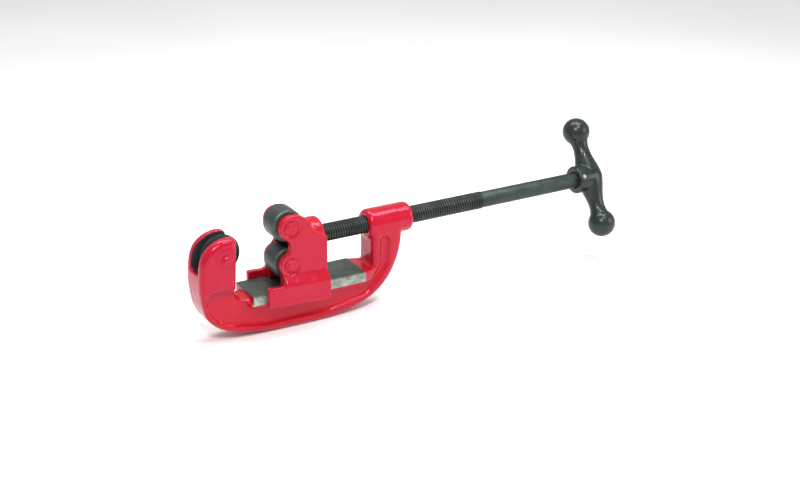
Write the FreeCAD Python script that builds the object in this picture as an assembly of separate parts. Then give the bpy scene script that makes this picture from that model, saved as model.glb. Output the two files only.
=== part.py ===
"""Heavy pipe cutter with one cutting wheel, two guide rollers and a feed screw.

Everything is in millimetres. X runs along the feed screw towards the handle, Z is up and Y is the
direction of the pipe. The origin is the point where the pipe meets the cutting wheel: the front of
the wheel's edge, on the screw's axis. Side outlines are given from the wheel's own axis.
"""
import FreeCAD
import Part
import math
import os

os.makedirs("parts", exist_ok=True)
V = FreeCAD.Vector
X_AXIS = V(1, 0, 0)
Y_AXIS = V(0, 1, 0)
Z_AXIS = V(0, 0, 1)

# ---- driving dimensions ------------------------------------------------------------------------
# Cutting wheel and its pin
WHEEL_R = 18.2            # radius at the sharp edge
WHEEL_HUB_R = 9.6
WHEEL_HUB_HALF = 7.3      # half the hub's length
WHEEL_WEB_HALF = 2.9      # half the thickness at the root of the blade
PIN_R = 5.0               # every pin that a wheel or roller turns on
PIN_HEAD_R = 6.8
# Guide rollers
ROLLER_R = 14.6
ROLLER_HALF = 10.7        # half the roller's length
ROLLER_X = 59.6           # roller axes, ahead of the wheel's axis, in the modelled position
ROLLER_GAP = 5.2          # between the two rollers
# Feed screw
SCREW_R = 8.0             # thread outside radius
SHANK_R = 7.5             # plain end towards the handle
THREAD_END = 264.0        # where the thread runs out, from the wheel's axis
HANDLE_X = 390.7          # the cross handle's axis, from the wheel's axis
# Cross handle
BALL_R = 13.3
BALL_SPAN = 92.4          # between the centres of the two end knobs
HANDLE_NECK_R = 8.2
HANDLE_TURN = -31.5       # degrees from upright about the screw, as modelled
# Frame casting
HEAD_HALF = 16.6          # half the thickness of the hook that holds the wheel
BODY_HALF = 13.5          # half the thickness of the body and the rear arm
WAY_HALF = 18.6           # half the width of the machined ways
WAY_HEIGHT = 9.8
WAY_START = 22.0          # front end of the ways, from the wheel's axis
WAY_RUNOUT = 11.0         # from the rear end of the ways to the rear arm
ARM_IN = 142.0            # inner face of the rear arm
ARM_THICK = 30.0
BODY_DEPTH = 40.2         # from the top of the ways to the lowest point of the frame
BOSS_WALL = 5.5           # metal round the frame's screw thread
BOSS_FRONT = 2.0          # how far the boss stands out ahead of the rear arm
BOSS_LENGTH = 45.0
RECESS_DEPTH = 3.5        # each side's hollow panel
EDGE_ROUND = 5.0          # rounding of the casting's edges
THROAT_ROUND = 8.0        # inside corners of the throat
WAY_STEP = 4.3            # rough casting below the top of the ways
# Carriage casting
CHEEK_T = 6.5             # wall beside the rollers
LOBE_R = 11.5             # round eyes that hold the roller pins
BLOCK_LENGTH = 18.5       # solid part behind the rollers
BARREL_WALL = 9.0         # metal round the screw's thread diameter at the carriage
SKIRT_T = 5.5             # side walls that straddle the ways
TOE_X = 34.0              # front of the skirts, from the wheel's axis
SKIRT_HEIGHT = 18.2

# ---- clearances --------------------------------------------------------------------------------
RUN_FIT = 0.06            # radial, for what turns
PIN_FIT = 0.02            # radial, for a pin held still
SIDE_PLAY = 0.30          # beside a wheel, a roller or a way
SLOT_PLAY = 0.45          # each side of the wheel's hub
WHEEL_CLEAR = 2.0         # round the wheel's edge in its slot
ROLLER_CLEAR = 1.3        # behind the rollers
FLOOR_CLEAR = 5.9         # under the lower roller, to the ways

# ---- worked out from the above -----------------------------------------------------------------
WHEEL_X = -WHEEL_R
ROLLER_Z = ROLLER_R + ROLLER_GAP / 2
WAY_TOP = -(ROLLER_Z + ROLLER_R + FLOOR_CLEAR)
WAY_BOTTOM = WAY_TOP - WAY_HEIGHT
FRAME_LOW = WAY_TOP - BODY_DEPTH
SLOT_HALF = WHEEL_HUB_HALF + SLOT_PLAY
HEAD_R = WHEEL_R + 7.4
HEAD_CX = 1.0
HEAD_CZ = -7.0
CHEEK_FRONT = WHEEL_R - 8.6
ARM_OUT = ARM_IN + ARM_THICK
WAY_END = ARM_IN - WAY_RUNOUT
BOSS_START = ARM_IN - BOSS_FRONT
BOSS_R = SCREW_R + BOSS_WALL
CHEEK_IN = ROLLER_HALF + SIDE_PLAY
CHEEK_OUT = CHEEK_IN + CHEEK_T
SKIRT_IN = WAY_HALF + SIDE_PLAY
SKIRT_OUT = SKIRT_IN + SKIRT_T
BLOCK_FRONT = ROLLER_X + ROLLER_R + ROLLER_CLEAR
BLOCK_REAR = BLOCK_FRONT + BLOCK_LENGTH
BARREL_R = min(SCREW_R + BARREL_WALL, CHEEK_OUT)
CHANNEL_TOP = WAY_TOP + SIDE_PLAY
BASE_TOP = -(ROLLER_Z + ROLLER_R) - ROLLER_CLEAR
JOURNAL_R = SCREW_R - 1.4
GROOVE_R = JOURNAL_R - 1.6
KEEPER_R = 1.5            # pins that hold the screw's nose in the carriage
THRUST_T = 2.0            # thrust washer at the bottom of the screw's socket
SOCKET_END = BLOCK_FRONT + 4.0
NOSE_X = SOCKET_END + THRUST_T + 0.1
GROOVE_X = BLOCK_REAR - 6.0
THREAD_START = BLOCK_REAR + 1.0
HUB_R = SCREW_R + 5.4
HUB_START = HANDLE_X - 18.7
CROSS_PIN_R = 2.0
CROSS_PIN_X = HUB_START + 5.0
CLIP_T = 1.0
CLIP_GROOVE_R = PIN_R - 1.0
CLIP_R = PIN_R + 2.6
PIN_HEAD_T = 2.0
PIN_TAIL = 3.4            # how far a pin passes beyond the far side
BOSS_RING_R = 10.0
BOSS_RING_T = 0.8
EYE_SINK = 1.0            # depth of the counterbore under a roller pin's head


# ---- small helpers -----------------------------------------------------------------------------
def side(x, z, y=0.0):
    """A point given from the wheel's axis, seen from the side."""
    return V(WHEEL_X + x, y, z)


def outline(start, steps, y):
    """A closed side-view face at y. A step is a point for a line, two for an arc, more for a curve."""
    edges = []
    here = side(*start, y)
    for step in steps:
        points = [here] + [side(*p, y) for p in step]
        if len(step) == 1:
            edges.append(Part.LineSegment(*points).toShape())
        elif len(step) == 2:
            edges.append(Part.Arc(*points).toShape())
        else:
            curve = Part.BSplineCurve()
            curve.interpolate(points)
            edges.append(curve.toShape())
        here = points[-1]
    first = side(*start, y)
    if here.distanceToPoint(first) > 1e-6:
        edges.append(Part.LineSegment(here, first).toShape())
    return Part.Face(Part.Wire(edges))


def plate(start, steps, y0, y1):
    """The side outline as a plate from y0 to y1."""
    return outline(start, steps, y0).extrude(V(0, y1 - y0, 0))


def both_sides(start, steps, y0, y1):
    """The same plate on the near and on the far side."""
    return [plate(start, steps, y0, y1), plate(start, steps, -y1, -y0)]


def block(x0, x1, half_y, z0, z1):
    """A box, its X from the wheel's axis, the same on both sides of the middle plane."""
    return Part.makeBox(x1 - x0, 2 * half_y, z1 - z0, V(WHEEL_X + x0, -half_y, z0))


def rod_y(r, y0, y1, x, z):
    """A cylinder along the pipe's direction."""
    return Part.makeCylinder(r, y1 - y0, V(WHEEL_X + x, y0, z), Y_AXIS)


def rod_x(r, x0, x1):
    """A cylinder along the screw's axis."""
    return Part.makeCylinder(r, x1 - x0, V(WHEEL_X + x0, 0, 0), X_AXIS)


def section(x, points):
    """A closed wire across the tool at x, from (y, z) points."""
    corners = [V(WHEEL_X + x, y, z) for y, z in points]
    return Part.makePolygon(corners + [corners[0]])


def loft(x0, points0, x1, points1):
    """A straight-sided solid between two sections with the same number of corners."""
    return Part.makeLoft([section(x0, points0), section(x1, points1)], True, True)


def mirrored(points):
    """(y, z) points of the +Y side, carried round the -Y side."""
    return points + [(-y, z) for y, z in reversed(points)]


def turned(profile, x, z, axis):
    """A solid of revolution about Y at (x, z), or about X, from (radius, along) points."""
    if axis == "y":
        corners = [side(x + r, z, along) for r, along in profile]
        centre, direction = side(x, z), Y_AXIS
    else:
        corners = [side(along, r) for r, along in profile]
        centre, direction = side(0, 0), X_AXIS
    wire = Part.makePolygon(corners + [corners[0]])
    return Part.Face(wire).revolve(centre, direction, 360)


def edges_where(shape, test):
    """The edges whose middle point passes the test."""
    found = []
    for edge in shape.Edges:
        middle = edge.valueAt((edge.FirstParameter + edge.LastParameter) / 2)
        if test(middle):
            found.append(edge)
    return found


def save(node, shape):
    """Write one piece as its own solid or group of solids."""
    solids = shape.Solids
    result = solids[0] if len(solids) == 1 else Part.makeCompound(solids)
    if not result.isValid():
        print("INVALID", node)
    result.exportStep("parts/" + node + ".step")
    box = result.BoundBox
    print(node, len(solids), "solid(s)", round(result.Volume), "mm3",
          [round(v, 1) for v in (box.XMin, box.XMax, box.YMin, box.YMax, box.ZMin, box.ZMax)])


# ---- frame -------------------------------------------------------------------------------------
def head_point(angle):
    """A point on the hook's round back."""
    turn = math.radians(angle)
    return (HEAD_CX + HEAD_R * math.cos(turn), HEAD_CZ + HEAD_R * math.sin(turn))


def frame_outline():
    """The whole C of the frame from the side, with its three inside and tip corners still sharp."""
    start = head_point(math.degrees(math.acos((CHEEK_FRONT - HEAD_CX) / HEAD_R)))
    brow = head_point(184)
    low = FRAME_LOW
    back = [head_point(105), head_point(145), brow, (brow[0] + 0.4, WAY_TOP + 3.7),
            (brow[0] + 6.9, WAY_TOP - 16.5), (brow[0] + 23.0, low + 10.2), (28.0, low + 2.6),
            (66.0, low + 0.4), (ARM_OUT - 48.0, low + 4.6), (ARM_OUT - 22.0, low + 17.0),
            (ARM_OUT - 4.0, low + 43.0), (ARM_OUT, 0.0)]
    floor = WAY_TOP - WAY_STEP
    steps = [back, [(ARM_IN, 0.0)], [(ARM_IN, floor)], [(CHEEK_FRONT - 2.0, floor)]]
    return start, steps


def frame_plate(half):
    """The C as a plate with its corners and its rims rounded."""
    start, steps = frame_outline()
    solid = plate(start, steps, -half, half)
    tip = edges_where(solid, lambda p: abs(p.y) < 0.01 and p.z > WHEEL_R - 5)
    solid = solid.makeFillet(EDGE_ROUND, tip)
    inside = edges_where(solid, lambda p: abs(p.y) < 0.01 and abs(p.z - WAY_TOP + WAY_STEP) < 0.01)
    solid = solid.makeFillet(THROAT_ROUND, inside)
    return solid.makeFillet(EDGE_ROUND, edges_where(solid, lambda p: abs(abs(p.y) - half) < 0.01))


def frame_bed():
    """The top flange that carries the ways, wider than the web under it, and its two ends."""
    web = BODY_HALF - RECESS_DEPTH
    low = WAY_BOTTOM - 3.5
    brow = WAY_TOP - WAY_STEP
    flange = mirrored([(web, low), (WAY_HALF, WAY_BOTTOM - 0.8), (WAY_HALF, WAY_TOP - 0.4),
                       (WAY_HALF - 0.4, WAY_TOP)])
    front = mirrored([(web, low), (WAY_HALF, WAY_BOTTOM - 0.8), (WAY_HALF, WAY_BOTTOM + 1),
                      (BODY_HALF - 2, brow)])
    neck = mirrored([(web, low), (BODY_HALF, WAY_BOTTOM - 0.8), (BODY_HALF, WAY_BOTTOM + 1),
                     (BODY_HALF - 2, brow)])
    foot = mirrored([(web, low), (BODY_HALF, WAY_BOTTOM), (BODY_HALF, WAY_TOP - 1),
                     (BODY_HALF - 1, WAY_TOP)])
    nose = WAY_START - 3
    return [loft(CHEEK_FRONT - 3, neck, nose, front), loft(nose, front, WAY_START + 1, front),
            loft(WAY_START, flange, WAY_END, flange), loft(WAY_END, flange, ARM_IN + 3, foot)]


def frame_head():
    """The thick hook: full thickness round the wheel, tapering into the body below."""
    taper_top = WAY_TOP + 14.0
    taper_low = WAY_TOP - 12.0
    shape = mirrored([(BODY_HALF - 1, taper_low - 6), (BODY_HALF, taper_low), (HEAD_HALF, taper_top),
                      (HEAD_HALF, HEAD_R + 10)])
    mask = loft(-HEAD_R - 10, shape, CHEEK_FRONT + 1, shape)
    return frame_plate(HEAD_HALF).common(mask)


def wheel_slot():
    """The slot across the hook, round below the wheel and open to the back and the top."""
    r = WHEEL_R + WHEEL_CLEAR
    lip = (-HEAD_R - 12, -5.8)
    touch = (-0.405 * r, -0.914 * r)
    steps = [[touch], [(0, -r), (r, 0)], [(r, HEAD_R + 20)], [(-HEAD_R - 12, HEAD_R + 20)]]
    return plate(lip, steps, -SLOT_HALF, SLOT_HALF)


def side_recess():
    """The hollow panel in each side, from the hook along the body and up the rear arm."""
    low = FRAME_LOW
    back = HEAD_CX - HEAD_R + 5.6
    ledge = WAY_BOTTOM - 2.5
    rib = (ARM_IN + 7.3, ARM_OUT - 13.0)
    corners = [(back, WAY_TOP + 13.0, 8.0), (back, low + 33.0, 14.0), (back + 13.0, low + 16.5, 14.0),
               (34.0, low + 8.6, 20.0), (ARM_OUT - 74.0, low + 8.0, 20.0), (ARM_OUT - 36.0, low + 14.0, 20.0),
               (rib[1], low + 40.0, 20.0), (rib[1], -9.5, 4.6), (rib[0], -9.5, 4.6),
               (rib[0], WAY_TOP + 1.0, 8.0), (ARM_IN - 4.0, ledge, 8.0), (WAY_START, ledge, 8.0),
               (CHEEK_FRONT - 3.0, WAY_TOP + 9.0, 8.0)]
    floor = BODY_HALF - RECESS_DEPTH
    panel = plate(corners[-1][:2], [[(x, z)] for x, z, _ in corners[:-1]], floor, HEAD_HALF + 5)
    for x, z, r in corners:
        upright = edges_where(panel, lambda p: math.hypot(p.x - WHEEL_X - x, p.z - z) < 0.01)
        panel = panel.makeFillet(r, upright)
    panel = panel.makeFillet(RECESS_DEPTH - 0.4, edges_where(panel, lambda p: abs(p.y - floor) < 0.01))
    return [panel, panel.mirror(V(0, 0, 0), Y_AXIS)]


def make_frame():
    """One casting: hook, body, ways, rear arm and threaded boss."""
    frame = frame_plate(BODY_HALF).fuse([frame_head()] + frame_bed())
    boss = rod_x(BOSS_R, BOSS_START, BOSS_START + BOSS_LENGTH)
    rims = edges_where(boss, lambda p: abs(p.y) + abs(p.z) > 1)
    boss = boss.makeFillet(3.5, [e for e in rims if e.Length > 2 * math.pi * BOSS_R - 1])
    rings = [rod_y(BOSS_RING_R, HEAD_HALF - 1, HEAD_HALF + BOSS_RING_T, 0, 0),
             rod_y(BOSS_RING_R, -HEAD_HALF - BOSS_RING_T, 1 - HEAD_HALF, 0, 0)]
    trim = block(-HEAD_R, CHEEK_FRONT - 2.4, HEAD_HALF + 3, -HEAD_R, HEAD_R)
    frame = frame.cut(side_recess())
    frame = frame.fuse([boss] + [ring.common(trim) for ring in rings])
    frame = frame.cut(wheel_slot())
    frame = frame.cut(rod_y(PIN_R + PIN_FIT, -HEAD_HALF - 5, HEAD_HALF + 5, 0, 0))
    frame = frame.cut(rod_x(SCREW_R + RUN_FIT, BOSS_START - 5, BOSS_START + BOSS_LENGTH + 5))
    return frame.removeSplitter()


# ---- what turns in the hook --------------------------------------------------------------------
def make_wheel():
    """The cutting wheel: a hub and a blade with a two-sided edge."""
    bore = PIN_R + RUN_FIT
    blade = WHEEL_R - 6.0
    half = [(bore + 0.5, WHEEL_HUB_HALF), (WHEEL_HUB_R - 0.6, WHEEL_HUB_HALF),
            (WHEEL_HUB_R, WHEEL_HUB_HALF - 0.6), (WHEEL_HUB_R + 0.4, WHEEL_WEB_HALF + 0.6),
            (WHEEL_HUB_R + 1.2, WHEEL_WEB_HALF), (blade, WHEEL_WEB_HALF - 0.5), (WHEEL_R, 0.12)]
    other = [(r, -along) for r, along in reversed(half)]
    ends = [(bore, 0.5 - WHEEL_HUB_HALF), (bore, WHEEL_HUB_HALF - 0.5)]
    return turned(half + other + ends, 0, 0, "y")


def headed_pin(x, z, near_face, far_face):
    """A pin with its domed head on the near side and a clip groove beyond the far side."""
    tail = far_face + PIN_TAIL
    groove = far_face + 0.4
    profile = [(0, near_face - PIN_HEAD_T), (PIN_HEAD_R - 1.2, near_face - PIN_HEAD_T),
               (PIN_HEAD_R, near_face - PIN_HEAD_T + 0.9), (PIN_HEAD_R, near_face),
               (PIN_R, near_face), (PIN_R, groove), (CLIP_GROOVE_R, groove),
               (CLIP_GROOVE_R, groove + CLIP_T + 0.1), (PIN_R, groove + CLIP_T + 0.1),
               (PIN_R, tail - 0.8), (PIN_R - 0.8, tail), (0, tail)]
    return turned(profile, x, z, "y")


def retaining_clip(x, z, far_face):
    """An open E-shaped retaining ring in a pin's groove."""
    y0 = far_face + 0.45
    ring = rod_y(CLIP_R, y0, y0 + CLIP_T, x, z).cut(rod_y(PIN_R + 1.2, y0 - 1, y0 + 2, x, z))
    mouth = 2 * CLIP_GROOVE_R
    gap = Part.makeBox(PIN_R + 6, 4, mouth, V(WHEEL_X + x, y0 - 1, z - mouth / 2))
    ring = ring.cut(gap)
    prongs = []
    for angle in (180, 65, -65):
        prong = Part.makeBox(3.0, CLIP_T, 3.0, V(WHEEL_X + x + CLIP_GROOVE_R, y0, z - 1.5))
        prong.rotate(V(WHEEL_X + x, 0, z), Y_AXIS, angle)
        prongs.append(prong)
    clip = ring.fuse(prongs)
    return clip.cut(rod_y(CLIP_GROOVE_R + PIN_FIT, y0 - 1, y0 + 2, x, z)).removeSplitter()


# ---- carriage ----------------------------------------------------------------------------------
def cheek_outline():
    """One wall beside the rollers: two round eyes, a waist and a back that falls to the barrel."""
    x, z, r = ROLLER_X + 0.4, ROLLER_Z, LOBE_R
    waist = (x + r * math.cos(math.radians(230)), z + r * math.sin(math.radians(230)))
    start = (BLOCK_REAR, CHANNEL_TOP)
    steps = [
        [(BLOCK_REAR, BARREL_R * 0.25)],
        [(BLOCK_REAR - 13.5, BARREL_R * 0.75)],
        [(x + 16.0, z + 5.0), (x + 2.5, z + r)],
        [(x, z + r)],
        [(x - r, z), waist],
        [(x - 1.4, 0.0), (waist[0], -waist[1])],
        [(x - r, -z), (x - r * 0.8, -z - r * 0.6)],
        [(x - r * 0.8, CHANNEL_TOP)],
    ]
    return start, steps


def ridge(x):
    """Height of the skirt's outer top edge, which falls a little towards the rear."""
    return WAY_TOP + 6.6 - 0.05 * (x - TOE_X)


def skirt_section(x, shoulder):
    """Across the tool at x: skirts only, or skirts and the sloping shoulders over them."""
    low = ridge(x) - SKIRT_HEIGHT
    if shoulder:
        return mirrored([(SKIRT_IN, CHANNEL_TOP), (SKIRT_IN, low), (SKIRT_OUT, low),
                         (SKIRT_OUT, ridge(x)), (CHEEK_OUT, ridge(x) + 7.6)])
    return [(SKIRT_IN, low), (SKIRT_OUT, low), (SKIRT_OUT, ridge(x)), (SKIRT_IN, ridge(x))]


def make_carriage():
    """The casting that carries both rollers, straddles the ways and takes the screw's nose."""
    wall_front = ROLLER_X + 0.4 - LOBE_R * 0.8
    lower = loft(wall_front, skirt_section(wall_front, True), BLOCK_REAR, skirt_section(BLOCK_REAR, True))
    toe = loft(TOE_X, skirt_section(TOE_X, False), wall_front + 1, skirt_section(wall_front + 1, False))
    toe = toe.makeFillet(2.0, edges_where(toe, lambda p: abs(p.x - WHEEL_X - TOE_X) < 0.01
                                          and p.y > SKIRT_IN + 0.1))
    far_toe = toe.mirror(V(0, 0, 0), Y_AXIS)
    start, steps = cheek_outline()
    cheeks = both_sides(start, steps, CHEEK_IN, CHEEK_OUT)
    core = block(BLOCK_FRONT, BLOCK_REAR, CHEEK_IN + 1, CHANNEL_TOP, 0)
    barrel = rod_x(BARREL_R, BLOCK_FRONT, BLOCK_REAR)
    barrel = barrel.makeFillet(3.5, edges_where(barrel, lambda p: abs(p.x - WHEEL_X - BLOCK_REAR) < 0.01))
    body = lower.fuse(cheeks + [core, barrel])
    body = body.cut(block(0, BLOCK_FRONT, CHEEK_IN, BASE_TOP, ROLLER_Z * 4))
    body = body.cut(block(0, ROLLER_X + 6, CHEEK_IN, WAY_BOTTOM, ROLLER_Z * 4))
    body = body.fuse([toe, far_toe])
    for z in (ROLLER_Z, -ROLLER_Z):
        body = body.cut(rod_y(PIN_R + PIN_FIT, -CHEEK_OUT - 5, CHEEK_OUT + 5, ROLLER_X, z))
        body = body.cut(rod_y(PIN_HEAD_R + 1.2, -CHEEK_OUT - 5, EYE_SINK - CHEEK_OUT, ROLLER_X, z))
    socket = rod_x(JOURNAL_R + RUN_FIT, SOCKET_END, BLOCK_REAR + 5)
    body = body.cut([socket] + keeper_pins(KEEPER_R + PIN_FIT, CHANNEL_TOP - 1, 0.5))
    return body.removeSplitter()


def make_roller(z):
    """A plain hard roller with broken edges."""
    bore = PIN_R + RUN_FIT
    profile = [(bore, -ROLLER_HALF + 0.5), (bore + 0.5, -ROLLER_HALF), (ROLLER_R - 1.0, -ROLLER_HALF),
               (ROLLER_R, -ROLLER_HALF + 1.0), (ROLLER_R, ROLLER_HALF - 1.0), (ROLLER_R - 1.0, ROLLER_HALF),
               (bore + 0.5, ROLLER_HALF), (bore, ROLLER_HALF - 0.5)]
    return turned(profile, ROLLER_X, z, "y")


def keeper_pins(r, z0, extra):
    """The two upright pins that run in the screw's groove, one each side."""
    y = GROOVE_R + KEEPER_R + 0.05
    top = JOURNAL_R + 1.0 + extra
    return [Part.makeCylinder(r, top - z0, V(WHEEL_X + GROOVE_X, s * y, z0), Z_AXIS) for s in (-1, 1)]


# ---- screw and handle --------------------------------------------------------------------------
def make_screw():
    """Nose journal with its keeper groove, threaded length and plain shank."""
    half_groove = KEEPER_R + 0.1
    end = HANDLE_X - 2.0
    profile = [(0, NOSE_X), (JOURNAL_R - 0.8, NOSE_X), (JOURNAL_R, NOSE_X + 0.8),
               (JOURNAL_R, GROOVE_X - half_groove), (GROOVE_R, GROOVE_X - half_groove),
               (GROOVE_R, GROOVE_X + half_groove), (JOURNAL_R, GROOVE_X + half_groove),
               (JOURNAL_R, THREAD_START), (SCREW_R, THREAD_START + 1.4),
               (SCREW_R, THREAD_END - 0.5), (SHANK_R, THREAD_END), (SHANK_R, end - 1.0),
               (SHANK_R - 1.0, end), (0, end)]
    return turned(profile, 0, 0, "x").cut(cross_pin(CROSS_PIN_R + PIN_FIT, HUB_R + 2))


def cross_pin(r, half):
    """The pin across the handle's hub, square to the cross bar."""
    pin = Part.makeCylinder(r, 2 * half, V(WHEEL_X + CROSS_PIN_X, -half, 0), Y_AXIS)
    pin.rotate(V(0, 0, 0), X_AXIS, HANDLE_TURN)
    return pin


def make_handle():
    """A hub along the screw and a cross bar with a round knob at each end."""
    reach = BALL_SPAN / 2
    centre = side(HANDLE_X, 0)
    join_r = BALL_R * 0.66
    join = reach - math.sqrt(BALL_R ** 2 - join_r ** 2)
    waist = HUB_R + (join - HUB_R) * 0.4
    curve = Part.BSplineCurve()
    curve.interpolate([V(HUB_R, 0, 0), V(HUB_R - 0.8, 0, HUB_R * 0.4), V(HANDLE_NECK_R, 0, waist),
                       V(join_r, 0, join)])
    foot = Part.LineSegment(V(0, 0, 0), V(HUB_R, 0, 0)).toShape()
    lid = Part.LineSegment(V(join_r, 0, join), V(0, 0, join)).toShape()
    axis = Part.LineSegment(V(0, 0, join), V(0, 0, 0)).toShape()
    arm = Part.Face(Part.Wire([foot, curve.toShape(), lid, axis])).revolve(V(0, 0, 0), Z_AXIS, 360)
    knob = Part.makeSphere(BALL_R, V(0, 0, reach))
    half = arm.fuse(knob)
    bar = half.fuse(half.mirror(V(0, 0, 0), Z_AXIS))
    bar.translate(centre)
    bar.rotate(centre, X_AXIS, HANDLE_TURN)
    hub = rod_x(HUB_R, HUB_START, HANDLE_X)
    hub = hub.makeFillet(1.5, edges_where(hub, lambda p: abs(p.x - WHEEL_X - HUB_START) < 0.01))
    handle = bar.fuse(hub)
    handle = handle.cut(rod_x(SHANK_R + PIN_FIT, HUB_START - 5, HANDLE_X - 1.5))
    return handle.cut(cross_pin(CROSS_PIN_R + PIN_FIT, HUB_R + 2)).removeSplitter()


# ---- write every piece -------------------------------------------------------------------------
save("frame", make_frame())
save("cutter_wheel", make_wheel())
save("wheel_pin", headed_pin(0, 0, -HEAD_HALF - BOSS_RING_T, HEAD_HALF + BOSS_RING_T))
save("wheel_pin_clip", retaining_clip(0, 0, HEAD_HALF + BOSS_RING_T))
save("carriage", make_carriage())
for label, height in (("upper", ROLLER_Z), ("lower", -ROLLER_Z)):
    save(label + "_roller", make_roller(height))
    save(label + "_roller_pin", headed_pin(ROLLER_X, height, EYE_SINK - CHEEK_OUT, CHEEK_OUT))
    save(label + "_roller_clip", retaining_clip(ROLLER_X, height, CHEEK_OUT))
save("feed_screw", make_screw())
save("thrust_washer", rod_x(JOURNAL_R - 0.1, SOCKET_END, SOCKET_END + THRUST_T))
near_keeper, far_keeper = keeper_pins(KEEPER_R, -12.0, 0.0)
save("near_keeper_pin", near_keeper)
save("far_keeper_pin", far_keeper)
save("t_handle", make_handle())
save("handle_cross_pin", cross_pin(CROSS_PIN_R, HUB_R - 0.4))
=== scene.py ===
# %% [markdown]
# # A heavy pipe cutter
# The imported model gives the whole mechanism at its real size. What it lacks is the look: soft sand
# castings under glossy enamel, a real screw thread, rounded steel edges and worn, oiled metal.
# This lesson adds those, one piece at a time, and leaves every size as it was.

# %% Load the frame
import math
import bmesh
import bpy
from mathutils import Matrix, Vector


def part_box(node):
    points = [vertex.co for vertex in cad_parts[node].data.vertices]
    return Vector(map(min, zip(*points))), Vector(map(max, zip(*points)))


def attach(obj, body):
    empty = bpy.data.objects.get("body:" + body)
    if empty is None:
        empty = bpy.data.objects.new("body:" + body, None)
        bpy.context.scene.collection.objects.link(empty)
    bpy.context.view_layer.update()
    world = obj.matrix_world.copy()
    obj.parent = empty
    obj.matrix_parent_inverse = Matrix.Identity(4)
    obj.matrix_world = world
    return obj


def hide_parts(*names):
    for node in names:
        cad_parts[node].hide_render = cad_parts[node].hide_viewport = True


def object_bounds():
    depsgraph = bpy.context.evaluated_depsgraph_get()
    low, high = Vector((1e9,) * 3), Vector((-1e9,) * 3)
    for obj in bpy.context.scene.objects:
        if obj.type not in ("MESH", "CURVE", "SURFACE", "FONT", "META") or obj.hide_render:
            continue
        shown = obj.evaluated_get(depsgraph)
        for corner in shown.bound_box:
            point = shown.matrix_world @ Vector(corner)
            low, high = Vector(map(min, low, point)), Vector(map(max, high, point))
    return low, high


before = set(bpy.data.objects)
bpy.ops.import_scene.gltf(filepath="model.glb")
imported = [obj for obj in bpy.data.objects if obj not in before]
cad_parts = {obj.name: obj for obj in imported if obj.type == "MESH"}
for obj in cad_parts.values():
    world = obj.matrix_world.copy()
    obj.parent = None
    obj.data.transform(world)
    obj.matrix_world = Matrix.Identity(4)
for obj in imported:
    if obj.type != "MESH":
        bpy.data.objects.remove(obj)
CAD_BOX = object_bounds()
MM = 0.001
print("CAD box:", [round(v / MM, 1) for corner in CAD_BOX for v in corner], "mm")

# %% [markdown]
# ## Places
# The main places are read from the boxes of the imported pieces: the wheel's box gives its axis, the
# frame's box gives the width of the ways, and the lower roller's box gives their height. A few
# lengths that no box shows are named here once.

# %% Read the places that several pieces need
def middle(node):
    """The middle of a node's box."""
    low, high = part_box(node)
    return (low + high) / 2


def half_size(node):
    """Half the size of a node's box, along X, Y and Z."""
    low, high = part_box(node)
    return (high - low) / 2


WHEEL_AT = middle("cutter_wheel")
WAY_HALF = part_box("frame")[1].y
ROLLER_TO_WAYS = 5.9 * MM                             # from the lower roller down to the ways
WAY_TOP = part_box("lower_roller")[0].z - ROLLER_TO_WAYS
WAY_HEIGHT = 9.8 * MM
WAY_FRONT = WHEEL_AT.x + 22.0 * MM
WAY_BACK = WHEEL_AT.x + 131.0 * MM
BODY_HALF = 13.5 * MM                                 # half the thickness of the frame's body
THREAD_END = WHEEL_AT.x + 264 * MM                    # where the screw's thread runs out
PIN_R = 5.0 * MM
print("ways from", round(WAY_FRONT / MM, 1), "to", round(WAY_BACK / MM, 1), "mm along X")

# %% [markdown]
# ## Shader arithmetic
# A finish is easier to read as a sum than as a tree of nodes. `Wire` wraps one socket and turns
# + - * and ** into Math nodes. `Finish` adds every other node, and keeps the Object coordinates,
# which are metres in the object's own frame, so a pattern has a real size and never slides.

# %% Wrap the shader's sockets
class Wire:
    """One output socket that takes part in arithmetic."""

    def __init__(self, finish, socket):
        self.finish = finish
        self.socket = socket

    def math(self, operation, first, second=0.0):
        """Add one Math node."""
        return self.finish.add("Math", {"operation": operation}, {0: first, 1: second})

    def __add__(self, other):
        return self.math("ADD", self, other)

    def __sub__(self, other):
        return self.math("SUBTRACT", self, other)

    def __rsub__(self, other):
        return self.math("SUBTRACT", other, self)

    def __mul__(self, other):
        return self.math("MULTIPLY", self, other)

    def __pow__(self, other):
        return self.math("POWER", self, other)

    __radd__ = __add__
    __rmul__ = __mul__

    def size(self):
        """The value without its sign."""
        return self.math("ABSOLUTE", self)


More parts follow.
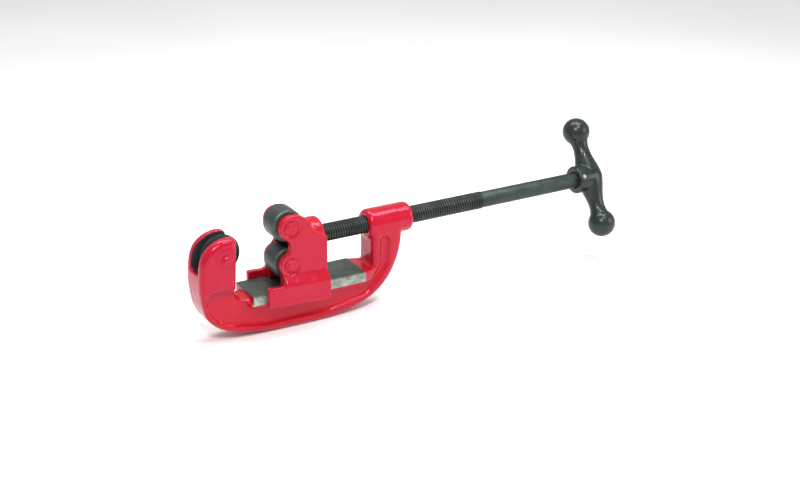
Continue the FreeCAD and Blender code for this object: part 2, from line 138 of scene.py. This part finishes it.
class Finish:
    """A material whose nodes are added by name."""

    def __init__(self, name):
        self.material = bpy.data.materials.new(name)
        self.material.use_nodes = True
        self.tree = self.material.node_tree
        self.shader = self.tree.nodes["Principled BSDF"]
        self.place = self.add("TexCoord", {}, {}, "Object")

    def add(self, kind, settings, links, output=0):
        """One node: its settings first, then the values or wires of its inputs."""
        node = self.tree.nodes.new("ShaderNode" + kind)
        for key, value in settings.items():
            setattr(node, key, value)
        for key, value in links.items():
            if isinstance(value, Wire):
                self.tree.links.new(value.socket, node.inputs[key])
            else:
                node.inputs[key].default_value = value
        return Wire(self, node.outputs[output])

    def noise(self, size, detail=3.0, rough=0.55, stretch=(1.0, 1.0, 1.0)):
        """Noise whose features are about this many metres across, drawn out along the axes."""
        at = self.place
        if stretch != (1.0, 1.0, 1.0):
            at = self.add("Mapping", {}, {"Vector": at, "Scale": stretch})
        return self.add("TexNoise", {}, {"Vector": at, "Scale": 1 / size, "Detail": detail,
                                         "Roughness": rough})

    def step(self, value, low, high, start=0.0, end=1.0):
        """A soft step from start to end as the value goes from low to high."""
        return self.add("MapRange", {"interpolation_type": "SMOOTHSTEP"},
                        {"Value": value, "From Min": low, "From Max": high,
                         "To Min": start, "To Max": end})

    def blend(self, factor, first, second):
        """A colour between two colours."""
        a = first if isinstance(first, Wire) else (*first, 1.0)
        b = second if isinstance(second, Wire) else (*second, 1.0)
        return self.add("Mix", {"data_type": "RGBA"}, {0: factor, 6: a, 7: b}, 2)

    def math_min(self, first, second):
        """The smaller of two values."""
        return self.add("Math", {"operation": "MINIMUM"}, {0: first, 1: second})

    def axis(self, name):
        """The X, Y or Z of the place on the object."""
        return self.add("SeparateXYZ", {}, {0: self.place}, name)

    def bump(self, height, distance, strength=1.0):
        """A normal from a height of 0 to 1 that stands for this many metres."""
        return self.add("Bump", {}, {"Height": height, "Distance": distance, "Strength": strength})

    def lay_over(self, mask, other):
        """Show another shader instead of this finish's own where the mask is 1."""
        own = Wire(self, self.shader.outputs[0])
        both = self.add("MixShader", {}, {0: mask, 1: own, 2: other})
        self.tree.links.new(both.socket, self.tree.nodes["Material Output"].inputs["Surface"])

    def cavity(self):
        """0 in hollow corners, 0.5 on flats and 1 on sharp edges."""
        return self.add("NewGeometry", {}, {}, "Pointiness")

    def surface(self, **inputs):
        """Set or link the shader's own sockets."""
        for name, value in inputs.items():
            socket = self.shader.inputs[name.replace("_", " ")]
            if isinstance(value, Wire):
                self.tree.links.new(value.socket, socket)
            elif isinstance(value, tuple):
                socket.default_value = (*value, 1.0)
            else:
                socket.default_value = value
        return self.material


# %% [markdown]
# ## Glossy enamel over cast iron
# The castings are dipped in a thick red enamel. It is a deep crimson where it lies flat, with a slow
# random change of tone. The bends and the hollow panel are tinted orange-red as painted shading, and
# the inside corners are darker, partly as dirt and partly as painted shade. Sand casting leaves slow
# waves and fine pits under it, so the gloss breaks up. Both castings share one recipe, and the frame
# gets its machined ways through a mask worked out from Object coordinates.

# %% Mix the enamel
ENAMEL = (0.40, 0.0025, 0.016)
ENAMEL_WARM = (0.46, 0.006, 0.001)
ENAMEL_DARK = (0.09, 0.0015, 0.004)
COAT = 0.12
CAST_RELIEF = 0.8 * MM                                # depth of the waves and pits under the enamel
GLOSS = {"Coat_Roughness": 0.05, "Specular_IOR_Level": 0.5, "Specular_Tint": (1.0, 0.42, 0.72)}


def enamel_parts(finish, hollow_shade):
    """The enamel's colour, roughness and height. The last argument is 1 where the colour is tinted
    orange-red as painted shade.
    """
    cavity = finish.cavity()
    cloud = finish.noise(22 * MM, 2.0)
    # Painted shading: the bends and the panel that the last argument marks are tinted orange-red;
    # only the cloud's change of tone is the enamel's own.
    painted_bend_shade = finish.step((cavity - 0.5).size(), 0.012, 0.05)
    tone_and_shade_warmth = finish.step(cloud, 0.35, 0.7) * 0.25 + hollow_shade * 0.45 + painted_bend_shade * 0.5
    tint = finish.blend(finish.math_min(tone_and_shade_warmth, 1.0), ENAMEL, ENAMEL_WARM)
    # Darker in the inside corners: partly dirt, partly painted shade.
    dirt_and_corner_shade = finish.step(cavity, 0.485, 0.44) * finish.step(finish.noise(5 * MM), 0.3, 0.6)
    colour = finish.blend(dirt_and_corner_shade * 0.75, tint, ENAMEL_DARK)
    speck = finish.step(finish.noise(1.1 * MM, 4.0), 0.66, 0.74)
    colour = finish.blend(speck * 0.35, colour, ENAMEL_DARK)
    smear = finish.noise(9 * MM, 4.0)
    rough = finish.step(smear, 0.3, 0.75, 0.13, 0.27) + dirt_and_corner_shade * 0.25
    height = finish.noise(7 * MM, 2.0) * 0.75 + finish.noise(1.3 * MM, 3.0) * 0.14
    return colour, rough, height


def enamel():
    """Red enamel for the carriage and the pins."""
    finish = Finish("red_enamel")
    colour, rough, height = enamel_parts(finish, 0.0)
    return finish.surface(Base_Color=colour, Roughness=rough, Metallic=0.0, Coat_Weight=COAT,
                          Normal=finish.bump(height, CAST_RELIEF), **GLOSS)


# %% [markdown]
# ## Machined ways
# The top and the edges of the ways are planed after painting and stay bare. Planing leaves fine
# lines along the travel, oil stains them, and their colour is a green grey. One more casting finish
# mixes that bare iron with the enamel: a box-shaped mask picks the ways out.

# %% Mix the frame's finish
IRON = (0.115, 0.140, 0.122)
IRON_DARK = (0.050, 0.064, 0.055)
# The flanks' colour is much lighter than the top's, as a painted reflection.
IRON_FLANK_PAINTED_SHEEN = (0.42, 0.47, 0.42)


def frame_finish():
    """Enamel with the bare machined ways, and the slot that holds the wheel painted near black and
    matt as shade.
    """
    finish = Finish("red_enamel_and_bare_ways")
    x = finish.axis("X")
    y = finish.axis("Y").size()
    z = finish.axis("Z")
    edge = 0.35 * MM
    ragged = (finish.noise(2.2 * MM) - 0.5) * (0.8 * MM)
    in_length = finish.step(x, WAY_FRONT - 1.2 * MM, WAY_FRONT - 0.8 * MM)
    in_length = in_length * finish.step(x, WAY_BACK + 1.0 * MM, WAY_BACK + 0.4 * MM)
    top = finish.step(z, WAY_TOP - 0.9 * MM, WAY_TOP - 0.6 * MM)
    top = top * finish.step(z, WAY_TOP + 0.6 * MM, WAY_TOP + 0.4 * MM)
    flank = finish.step(y, WAY_HALF - 1.4 * MM, WAY_HALF - 1.0 * MM)
    bottom = WAY_TOP - WAY_HEIGHT + 0.9 * MM
    flank = flank * finish.step(z + ragged, bottom - edge, bottom + edge)
    bare = finish.add("Math", {"operation": "MAXIMUM"}, {0: top, 1: flank}) * in_length

    # Painted shade: the hollow panel below the ways is tinted orange-red through enamel_parts.
    hollow = finish.step(y, BODY_HALF + 0.1 * MM, BODY_HALF - 2.6 * MM)
    outside = finish.step(z, WAY_TOP + 2 * MM, WAY_TOP - 4 * MM)
    colour, rough, height = enamel_parts(finish, hollow * outside)

    # Painted shade: the walls of the wheel's slot are coloured near black and matt, without the coat.
    from_axis = ((x - WHEEL_AT.x) ** 2.0 + z * z) ** 0.5
    slot = finish.step(y, 8.4 * MM, 8.1 * MM) * finish.step(from_axis, 25.5 * MM, 24.5 * MM)
    slot = slot * finish.step(x, WHEEL_AT.x + 16 * MM, WHEEL_AT.x + 15 * MM)
    colour = finish.blend(slot, colour, (0.020, 0.024, 0.023))

    lines = finish.noise(0.45 * MM, 2.0, 0.6, (0.02, 1.0, 1.0))
    stain = finish.step(finish.noise(9 * MM, 5.0, 0.65), 0.34, 0.66)
    mottle = finish.step(finish.noise(2.6 * MM, 4.0, 0.7), 0.36, 0.7)
    # Painted reflection: the flanks of the ways are coloured much lighter than their top.
    iron = finish.blend(flank * (1 - top), IRON, IRON_FLANK_PAINTED_SHEEN)
    iron = finish.blend(stain * 0.5 + mottle * 0.3, iron, IRON_DARK)
    iron_rough = finish.step(lines, 0.3, 0.7, 0.34, 0.5) + mottle * 0.12
    planed = finish.add("BsdfPrincipled", {}, {
        "Base Color": iron, "Roughness": iron_rough, "Metallic": 0.85,
        "Normal": finish.bump(lines, 0.08 * MM)})
    finish.lay_over(bare, planed)
    return finish.surface(Base_Color=colour, Roughness=rough + slot * 0.25, Metallic=0.0,
                          Coat_Weight=(1 - slot) * COAT, Normal=finish.bump(height, CAST_RELIEF),
                          **GLOSS)


# %% [markdown]
# ## Dark steels
# The rollers, the wheel and the screw are blacked steel, and the cross handle is a smooth casting
# under satin black. They differ in how they were made: turned pieces show fine rings round their
# axis. The thread's roots are painted near black as shade, and its crests are paler, partly from
# wear and partly as a painted highlight.

# %% Mix the steels
def turned_steel(name, light, dark, rough):
    """Steel turned on a lathe about an axis along Y, with fine rings round that axis."""
    finish = Finish(name)
    rings = finish.noise(0.5 * MM, 2.0, 0.6, (0.03, 1.0, 0.03))
    stain = finish.step(finish.noise(7 * MM, 5.0, 0.65), 0.32, 0.68)
    # Sharp edges are coloured lighter: partly wear, partly a painted highlight along the broken edge.
    edge = finish.step(finish.cavity(), 0.53, 0.60)
    colour = finish.blend(stain * 0.7, light, dark)
    colour = finish.blend(edge * 0.5, colour, (0.34, 0.36, 0.35))
    roughness = finish.step(rings, 0.3, 0.7, rough - 0.06, rough + 0.08) + stain * 0.08
    height = rings * 0.5 + finish.noise(0.8 * MM) * 0.3
    return finish.surface(Base_Color=colour, Roughness=roughness, Metallic=0.8,
                          Normal=finish.bump(height, 0.05 * MM))


def thread_steel():
    """Blacked steel: roots near black as painted shade, crests paler partly from wear and partly as a
    painted highlight, grey on the shank.
    """
    finish = Finish("blacked_screw_steel")
    y = finish.axis("Y")
    z = finish.axis("Z")
    radius = (y * y + z * z) ** 0.5
    x = finish.axis("X")
    on_shank = finish.step(x, THREAD_END - 1 * MM, THREAD_END)
    # Painted shade and highlight: the thread's roots are near black and its crests paler; the worn
    # noise adds real wear to the crests.
    crest = finish.step(radius, 6.9 * MM, 7.9 * MM)
    stain = finish.step(finish.noise(8 * MM, 5.0, 0.65), 0.34, 0.68)
    worn = finish.step(finish.noise(14 * MM, 3.0), 0.35, 0.7)
    thread = finish.blend(crest * (0.45 + worn * 0.4), (0.006, 0.008, 0.007), (0.060, 0.072, 0.066))
    shank = finish.blend(stain * 0.6, (0.052, 0.068, 0.060), (0.026, 0.036, 0.031))
    rings = finish.noise(0.5 * MM, 2.0, 0.6, (1.0, 0.03, 0.03))
    rough = finish.step(rings, 0.3, 0.7, 0.32, 0.46) + (1 - crest) * 0.25
    return finish.surface(Base_Color=finish.blend(on_shank, thread, shank), Roughness=rough,
                          Metallic=0.75, Normal=finish.bump(rings, 0.04 * MM))


def handle_black():
    """Satin black over a smooth casting, lighter where it bulges out: partly wear, partly a painted
    highlight.
    """
    finish = Finish("satin_black_casting")
    stain = finish.step(finish.noise(16 * MM, 4.0, 0.6), 0.35, 0.7)
    # Lighter on the bulges: partly wear, partly a painted highlight.
    edge = finish.step(finish.cavity(), 0.515, 0.56)
    colour = finish.blend(stain * 0.6, (0.019, 0.028, 0.025), (0.009, 0.014, 0.012))
    colour = finish.blend(edge * 0.3, colour, (0.07, 0.085, 0.08))
    smear = finish.noise(6 * MM, 4.0)
    height = finish.noise(5 * MM, 2.0) * 0.6 + finish.noise(0.9 * MM, 3.0) * 0.16
    return finish.surface(Base_Color=colour, Roughness=finish.step(smear, 0.3, 0.75, 0.22, 0.38),
                          Metallic=0.3, Coat_Weight=0.15, Coat_Roughness=0.12,
                          Specular_IOR_Level=0.35, Normal=finish.bump(height, 0.25 * MM))


def washer_brass():
    """Oiled brass with a fine grain."""
    finish = Finish("oiled_brass")
    stain = finish.step(finish.noise(4 * MM, 4.0), 0.35, 0.7)
    colour = finish.blend(stain, (0.55, 0.38, 0.13), (0.24, 0.15, 0.05))
    rough = finish.step(finish.noise(0.6 * MM), 0.3, 0.7, 0.28, 0.42)
    return finish.surface(Base_Color=colour, Roughness=rough, Metallic=1.0,
                          Normal=finish.bump(finish.noise(0.5 * MM), 0.03 * MM))


RED = enamel()
FRAME_RED = frame_finish()
ROLLER_STEEL = turned_steel("blacked_roller_steel", (0.085, 0.105, 0.100), (0.045, 0.058, 0.054),
                            0.36)
WHEEL_STEEL = turned_steel("blacked_wheel_steel", (0.060, 0.070, 0.066), (0.022, 0.027, 0.025),
                           0.30)
PIN_STEEL = turned_steel("plain_pin_steel", (0.30, 0.32, 0.31), (0.14, 0.15, 0.15), 0.32)
SCREW_STEEL = thread_steel()
HANDLE_BLACK = handle_black()
BRASS = washer_brass()
print("finishes:", [m.name for m in bpy.data.materials])

# %% [markdown]
# ## Soft castings
# A casting has no sharp corners: metal fills every inside corner, and sand rounds every edge. A
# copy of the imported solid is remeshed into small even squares, and its points are then smoothed
# again and again. What a machine tool cut afterwards must stay crisp, so those points are left
# where they are: a test says which points may move.

# %% Make soft copies of the castings
def finish_mesh(piece, material, body, slot, *nodes):
    """Give a piece its finish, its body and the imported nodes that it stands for."""
    piece.data.materials.clear()
    piece.data.materials.append(material)
    for face in piece.data.polygons:
        face.use_smooth = True
    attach(piece, body)
    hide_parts(*nodes)
    print(piece.name, len(piece.data.polygons), "faces")
    return piece


def new_piece(name, bm):
    """A mesh object from a bmesh."""
    mesh = bpy.data.meshes.new(name)
    bm.to_mesh(mesh)
    bm.free()
    piece = bpy.data.objects.new(name, mesh)
    bpy.context.scene.collection.objects.link(piece)
    return piece


def soft_copy(name, node, voxel, rounds, may_move):
    """A remeshed copy of a node, smoothed wherever may_move says so of a point."""
    bm = bmesh.new()
    bm.from_mesh(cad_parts[node].data)
    bmesh.ops.remove_doubles(bm, verts=bm.verts, dist=0.002 * MM)
    rough = new_piece(name + "_rough", bm)
    remesh = rough.modifiers.new("even_squares", "REMESH")
    remesh.mode = "VOXEL"
    remesh.voxel_size = voxel
    shape = rough.evaluated_get(bpy.context.evaluated_depsgraph_get())
    bm = bmesh.new()
    bm.from_mesh(shape.to_mesh())
    moving = [v for v in bm.verts if may_move(v.co)]
    for _ in range(rounds):
        bmesh.ops.smooth_vert(bm, verts=moving, factor=0.5, use_axis_x=True, use_axis_y=True,
                              use_axis_z=True)
    bpy.data.objects.remove(rough)
    return new_piece(name, bm)


def frame_is_rough(p):
    """True where the frame stays as cast: not on the ways and not in a bore."""
    on_ways = WAY_FRONT - 1 * MM < p.x < WAY_BACK + 1 * MM and p.z > WAY_TOP - WAY_HEIGHT
    in_screw_bore = math.hypot(p.y, p.z) < 9 * MM and p.x > WAY_BACK
    in_pin_bore = math.hypot(p.x - WHEEL_AT.x, p.z) < 6 * MM
    return not (on_ways or in_screw_bore or in_pin_bore)


POCKET_HALF = half_size("upper_roller").y + 1.2 * MM
POCKET_END = middle("upper_roller").x + 17 * MM
HUB_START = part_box("t_handle")[0].x


def carriage_is_rough(p):
    """True where the carriage stays as cast: not inside, where it is machined."""
    inside = abs(p.y) < POCKET_HALF and p.x < POCKET_END
    in_bore = math.hypot(p.y, p.z) < 8 * MM
    on_ways = abs(p.y) < WAY_HALF + 1 * MM and p.z < WAY_TOP + 1.5 * MM
    return not (inside or in_bore or on_ways)


def handle_is_rough(p):
    """True where the handle stays as cast: not in the hub's bore."""
    return math.hypot(p.y, p.z) > 9 * MM or p.x > HUB_START + 16 * MM


frame_casting = soft_copy("frame_casting", "frame", 1.0 * MM, 7, frame_is_rough)
finish_mesh(frame_casting, FRAME_RED, "frame_body", "casting_paint", "frame")
carriage_casting = soft_copy("carriage_casting", "carriage", 0.7 * MM, 5, carriage_is_rough)
finish_mesh(carriage_casting, RED, "carriage_body", "casting_paint", "carriage")
handle_casting = soft_copy("handle_casting", "t_handle", 0.8 * MM, 6, handle_is_rough)
finish_mesh(handle_casting, HANDLE_BLACK, "screw_body", "handle_black", "t_handle")

# %% [markdown]
# ## Turned pieces
# The rollers, the wheel and the pins come off a lathe, so each is one outline spun round its axis.
# The outline's corners become rings of sharp edges, and a bevel rounds them, because a turned edge
# is always broken a little and that thin bright line is what makes it look like steel.

# %% Spin the turned pieces
def lathe(name, outline, centre, axis, closed, rounding, steps=96):
    """Spin (radius, along) points round an axis and round the sharp rings. A bored piece's outline
    is closed, and a solid piece's outline starts and ends on the axis."""
    along = Vector((1, 0, 0)) if axis == "X" else Vector((0, 1, 0))
    bm = bmesh.new()
    points = [bm.verts.new(centre + Vector((0, 0, r)) + along * a) for r, a in outline]
    lines = [bm.edges.new(pair) for pair in zip(points, points[1:])]
    if closed:
        lines.append(bm.edges.new((points[-1], points[0])))
    bmesh.ops.spin(bm, geom=points + lines, cent=centre, axis=along, angle=2 * math.pi, steps=steps,
                   use_merge=True, use_duplicate=False)
    bmesh.ops.remove_doubles(bm, verts=bm.verts, dist=0.001 * MM)
    bmesh.ops.recalc_face_normals(bm, faces=bm.faces)
    sharp = [e for e in bm.edges if len(e.link_faces) == 2 and e.calc_face_angle(0) > 0.45]
    bmesh.ops.bevel(bm, geom=sharp, offset=rounding, offset_type="OFFSET", segments=3, profile=0.5,
                    affect="EDGES", material=-1, clamp_overlap=True)
    bmesh.ops.recalc_face_normals(bm, faces=bm.faces)
    return new_piece(name, bm)


BORE = PIN_R + 0.06 * MM                              # the pins' running fit
for side in ("upper", "lower"):
    size = half_size(side + "_roller")
    half = [(BORE, size.y), (size.x * 0.62, size.y), (size.x * 0.66, size.y - 0.5 * MM),
            (size.x - 1.6 * MM, size.y - 0.5 * MM), (size.x, size.y - 1.6 * MM)]
    outline = [(r, -a) for r, a in half] + half[::-1]
    roller = lathe(side + "_guide_roller", outline, middle(side + "_roller"), "Y", True, 0.35 * MM)
    finish_mesh(roller, ROLLER_STEEL, side + "_roller_body", "roller_steel", side + "_roller")

size = half_size("cutter_wheel")
hub = 9.6 * MM
blade = [(BORE, size.y), (hub - 0.6 * MM, size.y), (hub, size.y - 0.7 * MM),
         (hub + 0.5 * MM, 3.4 * MM), (hub + 1.4 * MM, 2.9 * MM), (size.x - 6.0 * MM, 2.4 * MM),
         (size.x, 0.10 * MM)]
outline = blade + [(r, -a) for r, a in reversed(blade)]
wheel = lathe("cutting_wheel", outline, WHEEL_AT, "Y", True, 0.08 * MM)
finish_mesh(wheel, WHEEL_STEEL, "wheel_body", "wheel_steel", "cutter_wheel")

# %% [markdown]
# ## Pins with painted heads
# The pins are pushed in from the near side before painting, so their heads are as red as the
# castings. Each head is a low disc with a raised round boss. Only the two ends show, so the whole
# pin gets the enamel.

# %% Spin the pins
PIN_HEAD_R = 6.8 * MM


def headed_pin(name, node, body):
    """A pin with a disc and a raised boss for a head, at a packed pin's place."""
    low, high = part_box(node)
    at = middle(node)
    head = low.y - at.y
    tail = high.y - at.y
    outline = [(0, head), (4.0 * MM, head), (4.9 * MM, head + 0.6 * MM),
               (5.1 * MM, head + 0.9 * MM), (PIN_HEAD_R - 0.9 * MM, head + 1.0 * MM),
               (PIN_HEAD_R, head + 1.6 * MM),
               (PIN_HEAD_R, head + 2.0 * MM), (PIN_R, head + 2.0 * MM), (PIN_R, tail - 0.8 * MM),
               (4.2 * MM, tail), (0, tail)]
    pin = lathe(name, outline, at, "Y", False, 0.25 * MM, 64)
    return finish_mesh(pin, RED, body, "pin_paint", node)


headed_pin("wheel_pin_headed", "wheel_pin", "frame_body")
headed_pin("upper_roller_pin_headed", "upper_roller_pin", "carriage_body")
headed_pin("lower_roller_pin_headed", "lower_roller_pin", "carriage_body")

# %% [markdown]
# ## The feed screw
# A thread is a zigzag that climbs by one pitch a turn. Spinning the zigzag once round the axis, and
# moving it along by a small part of the pitch at each step, makes every turn meet the next one.
# Both ends are cut square and closed. The plain shank and the grooved nose are turned separately.

# %% Spin the thread
PITCH = 2.5 * MM
THREAD_STEPS = 48


def thread(name, start, end, crest, root):
    """A right-hand thread about the X axis from start to end."""
    bm = bmesh.new()
    tooth = ((0.0, root), (0.16, root), (0.42, crest), (0.74, crest))
    count = math.ceil((end - start) / PITCH) + 3
    first = start - 2 * PITCH
    points = [bm.verts.new((first + (turn + part) * PITCH, 0, r))
              for turn in range(count) for part, r in tooth]
    lines = [bm.edges.new(pair) for pair in zip(points, points[1:])]
    bmesh.ops.spin(bm, geom=points + lines, cent=(0, 0, 0), axis=(1, 0, 0), angle=2 * math.pi,
                   dvec=(PITCH / THREAD_STEPS, 0, 0), steps=THREAD_STEPS, use_duplicate=False)
    bmesh.ops.remove_doubles(bm, verts=bm.verts, dist=0.01 * MM)
    for x, outwards in ((start, -1), (end, 1)):
        geometry = bm.verts[:] + bm.edges[:] + bm.faces[:]
        bmesh.ops.bisect_plane(bm, geom=geometry, plane_co=(x, 0, 0), plane_no=(outwards, 0, 0),
                               clear_outer=True)
        rim = [e for e in bm.edges if e.is_boundary and abs(e.verts[0].co.x - x) < 0.01 * MM
               and abs(e.verts[1].co.x - x) < 0.01 * MM]
        bmesh.ops.contextual_create(bm, geom=rim)
    bmesh.ops.recalc_face_normals(bm, faces=bm.faces)
    return new_piece(name, bm)


low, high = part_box("feed_screw")
CREST_R = 8.0 * MM
ROOT_R = 6.75 * MM
SHANK_R = 7.5 * MM
NOSE_R = 6.6 * MM
GROOVE_R = 5.0 * MM
GROOVE_HALF = 1.6 * MM
thread_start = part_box("carriage")[1].x + 1.0 * MM
screw_thread = thread("screw_thread", thread_start, THREAD_END, CREST_R, ROOT_R)
finish_mesh(screw_thread, SCREW_STEEL, "screw_body", "screw_steel", "feed_screw")
groove = thread_start - 7.0 * MM
bar = [(0, low.x), (NOSE_R - 0.8 * MM, low.x), (NOSE_R, low.x + 0.8 * MM),
       (NOSE_R, groove - GROOVE_HALF), (GROOVE_R, groove - GROOVE_HALF),
       (GROOVE_R, groove + GROOVE_HALF), (NOSE_R, groove + GROOVE_HALF),
       (NOSE_R, THREAD_END - 3 * MM), (SHANK_R, THREAD_END - 0.4 * MM),
       (SHANK_R, high.x - 1.0 * MM),
       (SHANK_R - 1.0 * MM, high.x), (0, high.x)]
screw_bar = lathe("screw_bar", bar, Vector((0, 0, 0)), "X", False, 0.2 * MM, 64)
finish_mesh(screw_bar, SCREW_STEEL, "screw_body", "screw_steel", "feed_screw")

# %% [markdown]
# ## Small pieces that stay as packed
# The clips, the keeper pins, the washer and the handle's pin have the right shape already. They
# only need their metal.

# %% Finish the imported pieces
for node, object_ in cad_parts.items():
    if node == "thrust_washer":
        kept = BRASS
    elif "pin" in node or "clip" in node:
        kept = PIN_STEEL
    else:
        continue
    object_.data.materials.clear()
    object_.data.materials.append(kept)
print("packed pieces finished")

# %% [markdown]
# ## Floor, light and camera
# A pale floor and four soft lamps give the highlights that enamel needs. The smallest lamp hangs high
# in front and adds a bright spark. The camera looks down on the near side through a long lens.

# %% Build the studio
def pale_floor():
    """A matt pale floor with the faintest mottle."""
    finish = Finish("pale_floor")
    cloud = finish.noise(0.4, 2.0)
    colour = finish.blend(finish.step(cloud, 0.3, 0.7), (0.86, 0.86, 0.86), (0.90, 0.90, 0.90))
    return finish.surface(Base_Color=colour, Roughness=0.7, Specular_IOR_Level=0.2)


bm = bmesh.new()
bmesh.ops.create_grid(bm, x_segments=1, y_segments=1, size=6.0)
bmesh.ops.translate(bm, verts=bm.verts, vec=(0, 0, CAD_BOX[0].z - 0.0002))
floor = new_piece("floor", bm)
floor.data.materials.append(pale_floor())

world = bpy.data.worlds.new("studio")
bpy.context.scene.world = world
world.use_nodes = True
world.node_tree.nodes["Background"].inputs["Color"].default_value = (1.0, 1.0, 1.0, 1.0)
world.node_tree.nodes["Background"].inputs["Strength"].default_value = 0.62
bpy.context.scene.view_settings.view_transform = "Standard"


def lamp(name, at, towards, width, depth, watts):
    """A rectangular lamp that faces a point."""
    light = bpy.data.lights.new(name, "AREA")
    light.shape = "RECTANGLE"
    light.size = width
    light.size_y = depth
    light.energy = watts
    holder = bpy.data.objects.new(name, light)
    bpy.context.scene.collection.objects.link(holder)
    holder.location = at
    holder.rotation_euler = (Vector(towards) - Vector(at)).to_track_quat("-Z", "Y").to_euler()


MIDDLE = (CAD_BOX[0] + CAD_BOX[1]) / 2
lamp("key_lamp", MIDDLE + Vector((-0.55, -0.75, 0.95)), MIDDLE, 0.22, 0.22, 8)
lamp("spark_lamp", MIDDLE + Vector((0.10, -0.60, 1.05)), MIDDLE, 0.08, 0.08, 4)
lamp("long_top_lamp", MIDDLE + Vector((0.15, 0.15, 1.0)), MIDDLE, 1.2, 0.22, 10)
lamp("fill_lamp", MIDDLE + Vector((0.9, -0.7, 0.35)), MIDDLE, 0.5, 0.5, 3)

AZIMUTH = math.radians(-30.9)
ELEVATION = math.radians(22.1)
ROLL = math.radians(0.68)
DISTANCE = 1.3
AIM = MIDDLE + Vector((-31.1, -31.7, 19.4)) * MM
back = Vector((math.sin(AZIMUTH) * math.cos(ELEVATION), -math.cos(AZIMUTH) * math.cos(ELEVATION),
               math.sin(ELEVATION)))
camera = bpy.data.objects.new("camera", bpy.data.cameras.new("camera"))
camera.data.lens = 66.56
camera.data.sensor_width = 36.0
camera.data.shift_y = -0.03125
camera.data.clip_end = 20.0
camera.location = AIM + back * DISTANCE
turn = (-back).to_track_quat("-Z", "Y").to_matrix().to_4x4()
camera.rotation_euler = (turn @ turn.Rotation(ROLL, 4, "Z")).to_euler()
bpy.context.scene.collection.objects.link(camera)
bpy.context.scene.camera = camera
